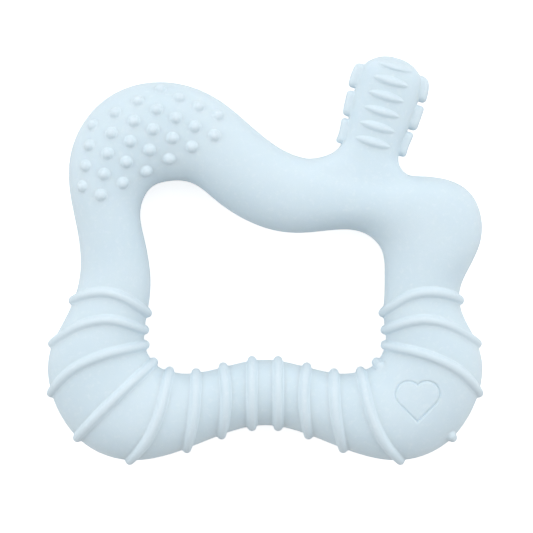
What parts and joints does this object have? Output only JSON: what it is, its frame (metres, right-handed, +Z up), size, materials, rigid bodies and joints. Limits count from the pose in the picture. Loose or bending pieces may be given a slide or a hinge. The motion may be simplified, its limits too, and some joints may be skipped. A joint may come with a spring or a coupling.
{
  "type": "teething ring",
  "caption": "Soft silicone teething ring: a lobed hand ring with wrapped ribs, round gum bumps on one lobe and a ridged gum-brush nub.",
  "frame": {"origin": "centre of the bounding box at the height of the resting plane, inside the hand opening", "axes": "+X across the ring, along the straight row of wrapped ribs; +Y across the ring towards the gum brush; +Z up through the thickness, out of the front face that carries the motif"},
  "size_m": [0.0998, 0.0934, 0.0194],
  "materials": {
    "silicone": "matte pale blue silicone, solid colour"
  },
  "bodies": {
    "root": {"ring_body": "silicone", "brush_stem": "silicone", "rib_01": "silicone", "rib_02": "silicone", "rib_03": "silicone", "rib_04": "silicone", "rib_05": "silicone", "rib_06": "silicone", "rib_07": "silicone", "rib_08": "silicone", "rib_09": "silicone", "rib_10": "silicone", "rib_11": "silicone", "rib_12": "silicone", "rib_13": "silicone", "rib_14": "silicone", "rib_15": "silicone", "rib_16": "silicone", "gum_bumps_front": "silicone", "gum_bumps_back": "silicone", "brush_ridges_front": "silicone", "brush_ridges_back": "silicone", "side_pads_left": "silicone", "side_pads_right": "silicone"}
  },
  "joints": []
}
